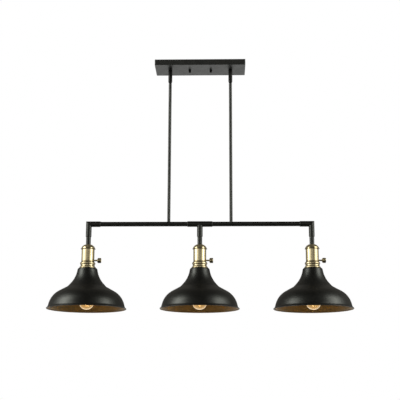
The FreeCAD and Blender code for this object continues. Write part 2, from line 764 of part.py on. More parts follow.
def shade_retaining_rings():
    """Threaded rings inside the shades that clamp the shades' top plates."""
    owner = body("shade_retaining_rings", -lamp_spacing)
    bore, outer, hub = ring_bore / 2, retainer_diameter / 2, retainer_hub_diameter / 2
    top = shade_top - shade_wall
    step, end = top - retainer_flange, top - retainer_height
    corners = [(bore, top), (outer, top), (outer, step), (hub, step), (hub, end), (bore, end)]
    ring = turned(owner, corners)
    repeated(owner, [ring], lamp_spacing * 2, 3)


# ---------------------------------------------------------------- lamp heads

def socket_cap(label, x):
    """Spun cap: a shallow dome down to a rolled lip that grips the shell."""
    owner = body(label, x)
    hole = tube_diameter / 2 + thread_play
    top, shoulder, skirt = cap_top_diameter / 2, cap_shoulder_diameter / 2, cap_diameter / 2
    lip, grip = lip_diameter / 2, shell_diameter / 2 + shell_play
    shoulder_level = cap_top - cap_shoulder_depth
    lip_top = cap_end + lip_height
    seat, under = cap_seat_diameter / 2, cap_top - cap_crown
    corners = [(hole, cap_top), (top, cap_top), (shoulder, shoulder_level), (skirt, lip_top),
               (lip, lip_top), (lip, cap_end), (grip, cap_end), (grip, lip_top),
               (skirt - cap_wall, lip_top), (shoulder - cap_wall, shoulder_level - cap_wall * 0.5),
               (seat, under), (hole, under)]
    turned(owner, corners, {2: cap_shoulder_round, 4: lip_round, 5: lip_round,
                            9: cap_shoulder_round - cap_wall})


def socket_shell(label, x):
    """Straight shell with a bead above the shade ring, threaded below it."""
    owner = body(label, x)
    outer, bore, bead = shell_diameter / 2, shell_bore / 2, bead_diameter / 2
    thread = thread_diameter / 2
    top = cap_end + shell_in_cap
    bead_top = ring_top + bead_height
    corners = [(bore, top), (outer, top), (outer, bead_top), (bead, bead_top), (bead, ring_top),
               (thread, ring_top), (thread, shell_end), (bore, shell_end)]
    turned(owner, corners, {3: bead_round, 4: bead_round})
    hole = sketch_on(owner, "YZ_Plane")
    circles(hole, (0, knob_level, stem_diameter + stem_hole_play * 2))
    extruded(owner, hole, shell_diameter, cut=True)


def shade_ring(label, x):
    """Moulded ring over the shade: bead, waist and a foot on the shade's top plate."""
    owner = body(label, x)
    bore, top = ring_bore / 2, ring_top_diameter / 2
    bead, waist, foot = ring_bead_diameter / 2, ring_waist_diameter / 2, ring_foot_diameter / 2
    bead_top = ring_top - ring_bead_depth
    bead_end = bead_top - ring_bead_height
    waist_top = bead_end - ring_bead_depth
    waist_end = waist_top - ring_waist_height
    foot_top = shade_top + ring_foot_height
    corners = [(bore, ring_top), (top, ring_top), (bead, bead_top), (bead, bead_end),
               (waist, waist_top), (waist, waist_end), (foot, foot_top), (foot, shade_top),
               (bore, shade_top)]
    turned(owner, corners, {2: ring_bead_round, 3: ring_bead_round, 5: ring_waist_round})


def socket_core(label, x):
    """Insulating core: wire bore on top, lamp cavity below, and the switch stem's bearing."""
    owner = body(label, x)
    outer, wire, cavity = core_diameter / 2, core_wire_bore / 2, cavity_diameter / 2
    top = cap_top - core_drop
    wire_end = top - core_wire_depth
    turned(owner, [(wire, top), (outer, top), (outer, core_end), (cavity, core_end),
                   (cavity, cavity_top), (0, cavity_top), (0, wire_end), (wire, wire_end)])
    bearing = sketch_on(owner, "YZ_Plane", stem_start - stem_play)
    circles(bearing, (0, knob_level, stem_diameter + stem_play * 2))
    extruded(owner, bearing, shell_diameter, cut=True)


def screw_shell(label, x):
    """Screw shell of the lamp holder, closed on top round the centre contact."""
    owner = body(label, x)
    bore = screw_shell_bore / 2
    outer, hole = bore + screw_shell_wall, contact_hole / 2
    under = cavity_top - screw_shell_wall
    end = cavity_top - screw_shell_length
    turned(owner, [(hole, cavity_top), (outer, cavity_top), (outer, end), (bore, end),
                   (bore, under), (hole, under)])


def centre_contact(label, x):
    owner = body(label, x)
    section = sketch_on(owner, "XY_Plane", cavity_top)
    circles(section, (0, 0, contact_diameter))
    extruded(owner, section, contact_thickness, down=True)


def shade(label, x):
    """Spun bell of even wall, with a hole for the shell in its flat top."""
    owner = body(label, x)
    rim = shade_top - shade_height
    neck = shade_top_radius + shade_neck_flare
    skirt = shade_rim_radius - shade_lip_flare
    corners = [(ring_bore / 2 + shade_hole_play, shade_top), (shade_top_radius, shade_top),
               (neck, shade_top - shade_neck_depth),
               (neck + shade_waist_flare, shade_top - shade_waist_depth),
               (skirt - shade_skirt_flare, shade_top - shade_dome_depth),
               (skirt, rim + shade_lip_height), (shade_rim_radius, rim)]
    section = sketch_on(owner, "XZ_Plane")
    walled(section, corners, {1: shade_top_round, 2: shade_neck_round, 3: shade_waist_round,
                              4: shade_dome_round, 5: shade_lip_round}, shade_wall)
    spun(owner, section)


def bulb_base(label, x):
    """Screw base: contact button, insulating cone and a skirt round the glass neck."""
    owner = body(label, x, bulb_top)
    outer, button, glass = bulb_base_diameter / 2, bulb_button_diameter / 2, bulb_neck_radius
    seat = glass + bulb_glass_play
    pocket = bulb_base_skirt - bulb_base_length
    turned(owner, [(0, 0), (button, 0), (button, -bulb_button_height), (outer, -bulb_base_cone),
                   (outer, -bulb_base_length), (seat, -bulb_base_length), (seat, pocket),
                   (0, pocket)])


def bulb_glass(label, x):
    """Tapered glass envelope, open at its neck."""
    owner = body(label, x, bulb_top)
    neck_top = bulb_base_skirt - bulb_base_length
    corners = [(bulb_neck_radius, neck_top), (bulb_neck_radius, -bulb_neck_depth),
               (bulb_radius, -bulb_shoulder_depth), (bulb_radius, -bulb_belly_depth),
               (bulb_tip_radius, -bulb_length), (0, -bulb_length)]
    section = sketch_on(owner, "XZ_Plane")
    walled(section, corners, {1: bulb_neck_round, 2: bulb_shoulder_round, 3: bulb_belly_round,
                              4: bulb_tip_round}, bulb_glass_wall)
    spun(owner, section)


def bulb_stem(label, x):
    """Glass mount inside the bulb, with a flare in the neck and a button for the filament."""
    owner = body(label, x, bulb_top)
    flare = bulb_neck_radius - bulb_glass_wall - bulb_stem_flare
    rod, head = bulb_stem_diameter / 2, bulb_stem_head / 2
    top = bulb_base_skirt - bulb_base_length
    under = top - bulb_stem_flare_height
    end = under - bulb_stem_length
    head_top = end + bulb_stem_head_height
    turned(owner, [(0, top), (flare, top), (flare, under), (rod, under), (rod, head_top),
                   (head, head_top), (head, end), (0, end)],
           {3: bulb_stem_diameter, 5: bulb_stem_head_height * 0.4, 6: bulb_stem_head_height * 0.4})


def switch_stem(label, x):
    """Round stem from the core's bearing out to the knob."""
    owner = body(label, x, knob_level, TURN_TO_X)
    section = sketch_on(owner, "XY_Plane", stem_start)
    circles(section, (0, 0, stem_diameter))
    extruded(owner, section, knob_back + stem_in_knob - stem_start)


def switch_knob(label, x):
    """Turned knob with a waisted back and a dished front, on the end of the stem."""
    owner = body(label, x, knob_level, TURN_TO_X)
    bore, back, outer = stem_diameter / 2 + stem_play, knob_back_diameter / 2, knob_diameter / 2
    dish = knob_dish_diameter / 2
    front = knob_back + knob_length
    shoulder = knob_back + knob_back_depth
    blind = knob_back + stem_in_knob
    floor = front - knob_dish_depth
    corners = [(bore, knob_back), (back, knob_back), (outer, shoulder), (outer, front),
               (dish, front), (dish - knob_dish_depth, floor), (0, floor), (0, blind),
               (bore, blind)]
    turned(owner, corners, {2: knob_back_round, 3: knob_front_round})


# ---------------------------------------------------------------- assembly

canopy()
mounting_bracket()
canopy_studs()
cap_nuts()
ground_screw()
swivel_nipples()
swivel_washers()
swivel_nuts()
for side, name in ((-1, "left"), (1, "right")):
    rod_place = rod_spacing / 2 * side
    swivel_cup(f"swivel_cup_{name}", rod_place)
    ball_stud(f"ball_stud_{name}", rod_place)
    downrod(f"downrod_{name}", rod_place)
    facing = FreeCAD.Rotation() if side > 0 else HALF_TURN
    bar_tube(f"bar_tube_{name}", facing)
    outward = HALF_TURN if side > 0 else FreeCAD.Rotation()
    elbow(f"elbow_{name}", (lamp_spacing - elbow_arm) * side, outward)
centre_tee()
cap_locknuts()
shade_retaining_rings()
LAMP_PIECES = (socket_cap, socket_shell, shade_ring, socket_core, screw_shell, centre_contact,
               shade, bulb_base, bulb_glass, bulb_stem, switch_stem, switch_knob)
for side, name in ((-1, "left"), (0, "centre"), (1, "right")):
    lamp_place = lamp_spacing * side
    drop_tube(f"drop_tube_{name}", lamp_place)
    for piece in LAMP_PIECES:
        piece(f"{piece.__name__}_{name}", lamp_place)

DOC.recompute()

# ---------------------------------------------------------------- check and write

for item in DOC.Objects:
    if "Invalid" in item.State or "Error" in item.State:
        raise RuntimeError(f"{item.Label} did not compute")
    if item.isDerivedFrom("Sketcher::SketchObject") and not item.FullyConstrained:
        raise RuntimeError(f"{item.Label} is not fully dimensioned")

os.makedirs("parts", exist_ok=True)
bodies = [item for item in DOC.Objects if item.isDerivedFrom("PartDesign::Body")]
for owner in bodies:
    shape = owner.Shape
    if shape.isNull() or not shape.isValid() or not shape.Solids:
        raise RuntimeError(f"{owner.Label} has no sound solid")
for owner in bodies:
    owner.Shape.exportStep(f"parts/{owner.Label}.step")
print(len(bodies), "nodes written")
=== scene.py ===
import json
import math

import bmesh
import bpy
from mathutils import Matrix, Vector

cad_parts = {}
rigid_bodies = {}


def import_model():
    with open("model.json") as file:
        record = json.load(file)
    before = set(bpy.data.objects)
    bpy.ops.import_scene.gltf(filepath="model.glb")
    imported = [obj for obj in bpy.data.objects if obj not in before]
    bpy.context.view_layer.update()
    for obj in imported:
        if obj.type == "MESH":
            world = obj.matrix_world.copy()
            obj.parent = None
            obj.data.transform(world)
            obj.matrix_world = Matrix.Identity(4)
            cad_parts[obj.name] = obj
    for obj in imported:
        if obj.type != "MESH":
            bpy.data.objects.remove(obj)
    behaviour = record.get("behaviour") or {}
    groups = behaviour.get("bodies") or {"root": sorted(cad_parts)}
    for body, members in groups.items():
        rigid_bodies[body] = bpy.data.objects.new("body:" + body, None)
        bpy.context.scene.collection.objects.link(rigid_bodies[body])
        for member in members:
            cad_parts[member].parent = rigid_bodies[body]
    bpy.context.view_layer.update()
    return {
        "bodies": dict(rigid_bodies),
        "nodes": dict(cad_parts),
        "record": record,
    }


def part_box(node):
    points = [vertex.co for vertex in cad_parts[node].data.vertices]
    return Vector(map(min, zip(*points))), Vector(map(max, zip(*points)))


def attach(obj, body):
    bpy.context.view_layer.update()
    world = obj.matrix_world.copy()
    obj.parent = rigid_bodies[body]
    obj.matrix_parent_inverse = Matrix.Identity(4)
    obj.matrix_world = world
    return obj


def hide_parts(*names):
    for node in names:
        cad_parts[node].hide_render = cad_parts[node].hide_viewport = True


# Linear island pendant: satin black canopy, rods and pipe bar, aged brass lamp holders, and bell
# shades with lit filament bulbs. Metres. The CAD nodes get their finishes here. Threads, filaments,
# knob ribs and rolled rims are added as pieces that ride on the same bodies, and the holder caps
# and the earth screw are replaced by finer ones.

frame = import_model()
NODES = frame["nodes"]
SIDES = ("left", "centre", "right")
TUBE_NODES = ("downrod_left", "downrod_right", "bar_tube_left", "bar_tube_right", "elbow_left",
              "elbow_right", "centre_tee", "drop_tube_left", "drop_tube_centre", "drop_tube_right")
SWIVEL_NODES = ("swivel_cup_left", "swivel_cup_right", "ball_stud_left", "ball_stud_right",
                "cap_nuts")


# ---------------------------------------------------------------- places read from the frame

def axis_of(node):
    """The point in the middle of a node's box."""
    low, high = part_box(node)
    return (low + high) / 2


def lamp_x(side):
    return axis_of(f"shade_{side}").x


# ---------------------------------------------------------------- shader helpers

def new_material(name):
    material = bpy.data.materials.new(name)
    material.use_nodes = True
    material.node_tree.nodes.clear()
    return material, Wiring(material.node_tree)


class Wiring:
    """Adds nodes to a tree and links them by socket name."""

    def __init__(self, tree):
        self.tree = tree

    def node(self, kind, **settings):
        made = self.tree.nodes.new(kind)
        for name, value in settings.items():
            setattr(made, name, value)
        return made

    def link(self, source, target):
        self.tree.links.new(source, target)

    def math(self, operation, first, second=None, clamp=False):
        made = self.node("ShaderNodeMath", operation=operation, use_clamp=clamp)
        for socket, value in zip(made.inputs, (first, second)):
            self.feed(socket, value)
        return made.outputs[0]

    def feed(self, socket, value):
        if value is None:
            return
        if isinstance(value, bpy.types.NodeSocket):
            self.link(value, socket)
        else:
            socket.default_value = value

    def mix(self, factor, first, second):
        made = self.node("ShaderNodeMix", data_type="RGBA")
        self.feed(made.inputs["Factor"], factor)
        self.feed(made.inputs[6], first)
        self.feed(made.inputs[7], second)
        return made.outputs[2]

    def ramp(self, value, low, high, start=0.0, end=1.0):
        """value mapped from low..high to start..end, and held there outside."""
        made = self.node("ShaderNodeMapRange", clamp=True)
        self.feed(made.inputs["Value"], value)
        for name, number in (("From Min", low), ("From Max", high), ("To Min", start),
                             ("To Max", end)):
            self.feed(made.inputs[name], number)
        return made.outputs["Result"]

    def noise(self, vector, scale, detail=3.0, roughness=0.5):
        made = self.node("ShaderNodeTexNoise")
        self.feed(made.inputs["Vector"], vector)
        self.feed(made.inputs["Scale"], scale)
        self.feed(made.inputs["Detail"], detail)
        made.inputs["Roughness"].default_value = roughness
        return made.outputs["Fac"]

    def place(self):
        return self.node("ShaderNodeTexCoord").outputs["Object"]

    def bump(self, height, strength, distance):
        made = self.node("ShaderNodeBump")
        for name, value in (("Height", height), ("Strength", strength), ("Distance", distance)):
            self.feed(made.inputs[name], value)
        return made.outputs["Normal"]

    def use(self, group, **values):
        """Places a shared effect with this finish's own values; returns its outputs."""
        made = self.node("ShaderNodeGroup", node_tree=group)
        for name, value in values.items():
            self.feed(made.inputs[name], value)
        return made.outputs

    def surface(self, **sockets):
        """A Principled shader as the material's surface; spaces in names are underscores."""
        shader = self.node("ShaderNodeBsdfPrincipled")
        for name, value in sockets.items():
            self.feed(shader.inputs[name.replace("_", " ")], value)
        output = self.node("ShaderNodeOutputMaterial")
        self.link(shader.outputs[0], output.inputs["Surface"])
        return shader, output


def rgb(red, green, blue):
    return (red, green, blue, 1.0)


# ---------------------------------------------------------------- effects that finishes share

def effect(name, inputs, outputs):
    """An empty group with named sockets: its tree's wires, what goes in, and what comes out."""
    group = bpy.data.node_groups.new(name, "ShaderNodeTree")
    for label, value in inputs.items():
        kind = "NodeSocketVector" if value is None else "NodeSocketFloat"
        socket = group.interface.new_socket(name=label, in_out="INPUT", socket_type=kind)
        if value is not None:
            socket.default_value = value
    for label, kind in outputs.items():
        group.interface.new_socket(name=label, in_out="OUTPUT", socket_type=kind)
    wires = Wiring(group)
    return wires, wires.node("NodeGroupInput").outputs, wires.node("NodeGroupOutput").inputs


def mottle_effect():
    """Cloudy patches: 0 where the finish is at one end of its range, 1 at the other."""
    wires, given, result = effect(
        "mottle", {"Place": None, "Fineness": 100.0, "Detail": 4.0, "Low": 0.3, "High": 0.7},
        {"Mask": "NodeSocketFloat"})
    cloud = wires.noise(given["Place"], given["Fineness"], given["Detail"])
    wires.link(wires.ramp(cloud, given["Low"], given["High"]), result["Mask"])
    return wires.tree


def peel_effect():
    """The fine waviness of a sprayed, rolled or blown surface, as a normal."""
    wires, given, result = effect(
        "peel", {"Place": None, "Fineness": 900.0, "Depth": 0.03, "Height": 0.0002},
        {"Normal": "NodeSocketVector"})
    waves = wires.noise(given["Place"], given["Fineness"], 2.0)
    wires.link(wires.bump(waves, given["Depth"], given["Height"]), result["Normal"])
    return wires.tree


def grain_effect():
    """Brushed lines that run along the lamp's axis, as a mask and a normal."""
    wires, given, result = effect(
        "grain", {"Place": None, "Fineness": 1400.0, "Length": 40.0, "Depth": 0.1},
        {"Mask": "NodeSocketFloat", "Normal": "NodeSocketVector"})
    stretch = wires.node("ShaderNodeCombineXYZ")
    for axis, socket in zip("XYZ", ("Fineness", "Fineness", "Length")):
        wires.link(given[socket], stretch.inputs[axis])
    drawn = wires.node("ShaderNodeVectorMath", operation="MULTIPLY")
    wires.link(given["Place"], drawn.inputs[0])
    wires.link(stretch.outputs[0], drawn.inputs[1])
    lines = wires.noise(drawn.outputs[0], 1.0, 3.0, 0.6)
    wires.link(wires.ramp(lines, 0.3, 0.7), result["Mask"])
    wires.link(wires.bump(lines, given["Depth"], 0.0001), result["Normal"])
    return wires.tree


def joint_shade_effect():
    """Painted shade round a joint at one height: 1 on it, 0 a little above and below."""
    wires, given, result = effect(
        "joint_shade", {"Place": None, "Level": 0.0, "Reach": 0.001}, {"Mask": "NodeSocketFloat"})
    height = wires.node("ShaderNodeSeparateXYZ")
    wires.link(given["Place"], height.inputs[0])
    away = wires.math("ABSOLUTE", wires.math("SUBTRACT", height.outputs["Z"], given["Level"]))
    wires.link(wires.math("SUBTRACT", 1.0, wires.math("DIVIDE", away, given["Reach"]), clamp=True),
               result["Mask"])
    return wires.tree


MOTTLE = mottle_effect()
PEEL = peel_effect()
GRAIN = grain_effect()
JOINT_SHADE = joint_shade_effect()


# ---------------------------------------------------------------- finishes

PAINT_PEEL = 0.003
PAINT_SHEEN = rgb(0.96, 1.0, 0.88)
CAP_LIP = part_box("socket_cap_left")[0].z
RING_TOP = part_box("shade_ring_left")[1].z
# Where the holder's parts meet, and where the painted shade bands go: under the cap's lip, over the
# shell's bead, and over and under the shade ring's bead.
HOLDER_JOINTS = (CAP_LIP + 0.0001, RING_TOP + 0.0029, RING_TOP - 0.0013, RING_TOP - 0.0073)
CONTACT_BUTTON = 0.0015
BASE_INSULATOR = 0.0055
INSULATOR_EDGE = 0.0001
BULB_GLOW = 0.11
FILAMENT_GLOW = 9.0


def paint(name, light, dark, roughness, specular=0.5):
    """Satin powder coat: a little uneven in tone and gloss, with a fine orange peel and dust."""
    material, wires = new_material(name)
    place = wires.place()
    tone = wires.use(MOTTLE, Place=place, Fineness=160.0, Low=0.35)["Mask"]
    gloss = wires.use(MOTTLE, Place=place, Fineness=45.0, Detail=3.0)["Mask"]
    dust = wires.use(MOTTLE, Place=place, Fineness=1300.0, Detail=2.0, Low=0.68, High=0.8)["Mask"]
    coat = wires.mix(tone, dark, light)
    wires.surface(
        Base_Color=wires.mix(wires.math("MULTIPLY", dust, 0.012), coat, rgb(0.2, 0.19, 0.17)),
        Roughness=wires.ramp(gloss, 0.0, 1.0, roughness - 0.03, roughness + 0.04),
        Specular_IOR_Level=specular,
        Specular_Tint=PAINT_SHEEN,
        Normal=wires.use(PEEL, Place=place, Depth=PAINT_PEEL)["Normal"])
    return material


def bell_paint(side):
    """Shade finish: black outside, and a golden bronze inside that the bulb warms."""
    material, wires = new_material(f"bell_{side}")
    place = wires.place()
    inside = inner_side(wires, place, lamp_x(side))
    tone = wires.use(MOTTLE, Place=place, Fineness=160.0, Low=0.35)["Mask"]
    gloss = wires.use(MOTTLE, Place=place, Fineness=45.0, Detail=3.0)["Mask"]
    outer = wires.mix(tone, rgb(0.0022, 0.002, 0.0016), rgb(0.0038, 0.0034, 0.0028))
    bronze = wires.mix(tone, rgb(0.1, 0.058, 0.013), rgb(0.13, 0.078, 0.019))
    wires.surface(
        Base_Color=wires.mix(inside, outer, bronze),
        Metallic=wires.math("MULTIPLY", inside, 0.2),
        Roughness=wires.ramp(gloss, 0.0, 1.0, 0.37, 0.43),
        Specular_IOR_Level=0.3,
        Specular_Tint=PAINT_SHEEN,
        Normal=wires.use(PEEL, Place=place, Depth=PAINT_PEEL)["Normal"])
    return material


def inner_side(wires, place, axis_x):
    """1 where the surface faces the lamp's axis or straight down inside it, else 0."""
    centred = wires.node("ShaderNodeVectorMath", operation="SUBTRACT")
    wires.feed(centred.inputs[0], place)
    centred.inputs[1].default_value = (axis_x, 0.0, 0.0)
    flat = wires.node("ShaderNodeVectorMath", operation="MULTIPLY")
    wires.link(centred.outputs[0], flat.inputs[0])
    flat.inputs[1].default_value = (1.0, 1.0, 0.0)
    out = wires.node("ShaderNodeVectorMath", operation="NORMALIZE")
    wires.link(flat.outputs[0], out.inputs[0])
    facing = wires.node("ShaderNodeVectorMath", operation="DOT_PRODUCT")
    wires.link(out.outputs[0], facing.inputs[0])
    wires.link(wires.node("ShaderNodeNewGeometry").outputs["Normal"], facing.inputs[1])
    return wires.ramp(facing.outputs["Value"], 0.02, -0.02)


def aged_brass():
    """Lacquered brass: brushed, brown in patches, and with painted shade where the holder's parts
    meet.
    """
    material, wires = new_material("aged_brass")
    place = wires.place()
    grain = wires.use(GRAIN, Place=place, Fineness=900.0, Length=12.0, Depth=0.05)
    patina = wires.use(MOTTLE, Place=place, Fineness=40.0, Detail=4.0, Low=0.45, High=0.8)["Mask"]
    clean = wires.mix(grain["Mask"], rgb(0.32, 0.265, 0.14), rgb(0.54, 0.46, 0.275))
    worn = wires.mix(wires.math("MULTIPLY", patina, 0.3), clean, rgb(0.15, 0.105, 0.045))
    # Painted shade: near-black bands at the heights where the holder's parts meet, laid over the
    # brass colour.
    shade_bands = None
    for level in HOLDER_JOINTS:
        shade_band = wires.use(JOINT_SHADE, Place=place, Level=level, Reach=0.0026)["Mask"]
        shade_bands = shade_band if shade_bands is None else wires.math("MAXIMUM", shade_bands, shade_band)
    wires.surface(
        Base_Color=wires.mix(wires.math("MULTIPLY", shade_bands, 0.95), worn, rgb(0.04, 0.028, 0.012)),
        Metallic=0.85,
        Roughness=wires.ramp(patina, 0.0, 1.0, 0.19, 0.28),
        Normal=grain["Normal"])
    return material


def plain_metal(name, light, dark, roughness, metallic=1.0):
    """Rolled or plated metal with a soft mottle."""
    material, wires = new_material(name)
    place = wires.place()
    patch = wires.use(MOTTLE, Place=place, Fineness=240.0)["Mask"]
    wires.surface(
        Base_Color=wires.mix(patch, dark, light),
        Metallic=metallic,
        Roughness=wires.ramp(patch, 0.0, 1.0, roughness, roughness + 0.08),
        Normal=wires.use(PEEL, Place=place, Fineness=700.0, Depth=0.05, Height=0.0001)["Normal"])
    return material


def moulded_insulator():
    """Dark pressed resin with faint flow marks."""
    material, wires = new_material("moulded_insulator")
    place = wires.place()
    flow = wires.use(GRAIN, Place=place, Fineness=180.0, Length=55.0, Depth=0.08)
    wires.surface(
        Base_Color=wires.mix(flow["Mask"], rgb(0.02, 0.014, 0.01), rgb(0.05, 0.035, 0.025)),
        Roughness=wires.ramp(flow["Mask"], 0.0, 1.0, 0.42, 0.55),
        Normal=flow["Normal"])
    return material


def bulb_base_metal(side):
    """Thin rolled metal with black glass between its edge and the contact button."""
    material, wires = new_material(f"bulb_base_{side}")
    place = wires.place()
    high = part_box(f"bulb_base_{side}")[1]
    height = wires.node("ShaderNodeSeparateXYZ")
    wires.link(place, height.inputs[0])
    button, glass = (
        wires.ramp(height.outputs["Z"], high.z - depth - INSULATOR_EDGE,
                   high.z - depth + INSULATOR_EDGE)
        for depth in (CONTACT_BUTTON, BASE_INSULATOR))
    insulator = wires.math("SUBTRACT", glass, button, clamp=True)
    patch = wires.use(MOTTLE, Place=place, Fineness=240.0)["Mask"]
    metal = wires.mix(patch, rgb(0.5, 0.48, 0.44), rgb(0.62, 0.6, 0.56))
    wires.surface(
        Base_Color=wires.mix(insulator, metal, rgb(0.01, 0.01, 0.012)),
        Metallic=wires.math("SUBTRACT", 1.0, insulator),
        Roughness=wires.ramp(patch, 0.0, 1.0, 0.28, 0.4))
    return material


def lit_glass():
    """Clear warm glass that glows a little, as a lit bulb's does, and lets its light out."""
    material, wires = new_material("lit_glass")
    place = wires.place()
    waves = wires.use(MOTTLE, Place=place, Fineness=60.0, Detail=2.0)["Mask"]
    shader, output = wires.surface(
        Base_Color=wires.mix(waves, rgb(0.96, 0.84, 0.6), rgb(0.93, 0.78, 0.5)),
        Roughness=0.04,
        IOR=1.3,
        Transmission_Weight=1.0,
        Emission_Color=rgb(1.0, 0.68, 0.3),
        Emission_Strength=BULB_GLOW,
        Normal=wires.use(PEEL, Place=place, Fineness=60.0, Depth=0.05, Height=0.0004)["Normal"])
    clear = wires.node("ShaderNodeBsdfTransparent")
    clear.inputs["Color"].default_value = rgb(1.0, 0.94, 0.84)
    ray = wires.node("ShaderNodeLightPath")
    blend = wires.node("ShaderNodeMixShader")
    wires.link(ray.outputs["Is Shadow Ray"], blend.inputs["Fac"])
    wires.link(shader.outputs[0], blend.inputs[1])
    wires.link(clear.outputs[0], blend.inputs[2])
    wires.link(blend.outputs[0], output.inputs["Surface"])
    return material


def stem_glass():
    """Pressed clear glass with a faint streak."""
    material, wires = new_material("stem_glass")
    place = wires.place()
    streak = wires.use(GRAIN, Place=place, Fineness=300.0, Length=40.0, Depth=0.03)
    wires.surface(
        Base_Color=wires.mix(streak["Mask"], rgb(0.95, 0.9, 0.8), rgb(1.0, 1.0, 1.0)),
        Roughness=0.08, IOR=1.45, Transmission_Weight=1.0, Normal=streak["Normal"])
    return material


def glowing_wire():
    """Filament wire, hotter and brighter in some places than in others."""
    material, wires = new_material("glowing_wire")
    heat = wires.use(MOTTLE, Place=wires.place(), Fineness=90.0, Detail=2.0)["Mask"]
    wires.surface(
        Base_Color=rgb(0.9, 0.5, 0.2),
        Roughness=0.5,
        Emission_Color=wires.mix(heat, rgb(1.0, 0.36, 0.07), rgb(1.0, 0.55, 0.17)),
        Emission_Strength=FILAMENT_GLOW)
    return material


BLACK = paint("satin_black", rgb(0.006, 0.0056, 0.005), rgb(0.0038, 0.0035, 0.0032), 0.4)
BLACK_TUBE = paint("tube_black", rgb(0.006, 0.0058, 0.0046), rgb(0.0038, 0.0036, 0.003), 0.36, 0.3)
BLACK_SWIVEL = paint("swivel_black", rgb(0.005, 0.0046, 0.004), rgb(0.003, 0.0028, 0.0024), 0.4,
                     0.12)
BRASS = aged_brass()
ZINC = plain_metal("zinc_plate", rgb(0.6, 0.6, 0.58), rgb(0.45, 0.45, 0.44), 0.3)
SHEET_BRASS = plain_metal("sheet_brass", rgb(0.66, 0.5, 0.24), rgb(0.5, 0.36, 0.15), 0.25)
EARTH_GREEN = plain_metal("earth_green", rgb(0.03, 0.2, 0.06), rgb(0.02, 0.13, 0.04), 0.35, 0.3)
RESIN = moulded_insulator()
LIT_GLASS = lit_glass()
STEM_GLASS = stem_glass()
HOT_WIRE = glowing_wire()
NICKEL = plain_metal("nickel_wire", rgb(0.55, 0.52, 0.48), rgb(0.4, 0.38, 0.35), 0.3)

FINISHES = {
    "black_paint": BLACK, "antique_brass": BRASS, "zinc_steel": ZINC, "shell_brass": SHEET_BRASS,
    "green_earth": EARTH_GREEN, "phenolic": RESIN, "bulb_glass": LIT_GLASS,
    "stem_glass": STEM_GLASS,
}


def dress_nodes():
    """Gives every CAD node its finish by the record's slot, or its own black or lamp finish."""
    for entry in frame["record"]["subparts"]:
        finish = FINISHES.get(entry["material_slot"])
        if finish:
            dress(entry["node"], finish)
    for node in TUBE_NODES:
        dress(node, BLACK_TUBE)
    for node in SWIVEL_NODES:
        dress(node, BLACK_SWIVEL)
    for side in SIDES:
        dress(f"shade_{side}", bell_paint(side))
        dress(f"bulb_base_{side}", bulb_base_metal(side))


def dress(node, material):
    for slot in NODES[node].material_slots:
        slot.material = material


# ---------------------------------------------------------------- pieces grown by node trees

def tree_with(name, numbers, counts=()):
    """A geometry tree whose inputs are named sizes, a place, a turn and a finish."""
    tree = bpy.data.node_groups.new(name, "GeometryNodeTree")
    tree.interface.new_socket(name="Geometry", in_out="OUTPUT", socket_type="NodeSocketGeometry")
    kinds = dict.fromkeys(counts, "NodeSocketInt") | dict.fromkeys(numbers, "NodeSocketFloat")
    kinds |= {"Place": "NodeSocketVector", "Turn": "NodeSocketVector",
              "Finish": "NodeSocketMaterial"}
    for label, kind in kinds.items():
        tree.interface.new_socket(name=label, in_out="INPUT", socket_type=kind)
    wires = Wiring(tree)
    return wires, wires.node("NodeGroupInput").outputs


def vector(wires, x=0.0, y=0.0, z=0.0):
    made = wires.node("ShaderNodeCombineXYZ")
    for axis, value in zip("XYZ", (x, y, z)):
        wires.feed(made.inputs[axis], value)
    return made.outputs[0]


def sweep(wires, curve, thickness, sides):
    """A round wire or ridge along a curve, with closed ends."""
    ring = wires.node("GeometryNodeCurvePrimitiveCircle")
    ring.inputs["Resolution"].default_value = sides
    wires.feed(ring.inputs["Radius"], thickness)
    made = wires.node("GeometryNodeCurveToMesh")
    wires.link(curve, made.inputs["Curve"])
    wires.link(ring.outputs["Curve"], made.inputs["Profile Curve"])
    made.inputs["Fill Caps"].default_value = True
    return made.outputs["Mesh"]


def turned_by(wires, angles):
    made = wires.node("FunctionNodeEulerToRotation")
    wires.link(angles, made.inputs[0])
    return made.outputs[0]


def close_tree(wires, given, shape):
    """Puts the shape in its place, realizes it, smooths it and gives it its finish."""
    placed = wires.node("GeometryNodeTransform")
    wires.link(shape, placed.inputs["Geometry"])
    wires.link(turned_by(wires, given["Turn"]), placed.inputs["Rotation"])
    wires.link(given["Place"], placed.inputs["Translation"])
    smooth = wires.node("GeometryNodeSetShadeSmooth")
    wires.link(placed.outputs[0], smooth.inputs["Geometry"])
    real = wires.node("GeometryNodeRealizeInstances")
    wires.link(smooth.outputs[0], real.inputs["Geometry"])
    dressed = wires.node("GeometryNodeSetMaterial")
    wires.link(real.outputs[0], dressed.inputs["Geometry"])
    wires.link(given["Finish"], dressed.inputs["Material"])
    wires.link(dressed.outputs[0], wires.node("NodeGroupOutput").inputs["Geometry"])
    return wires.tree


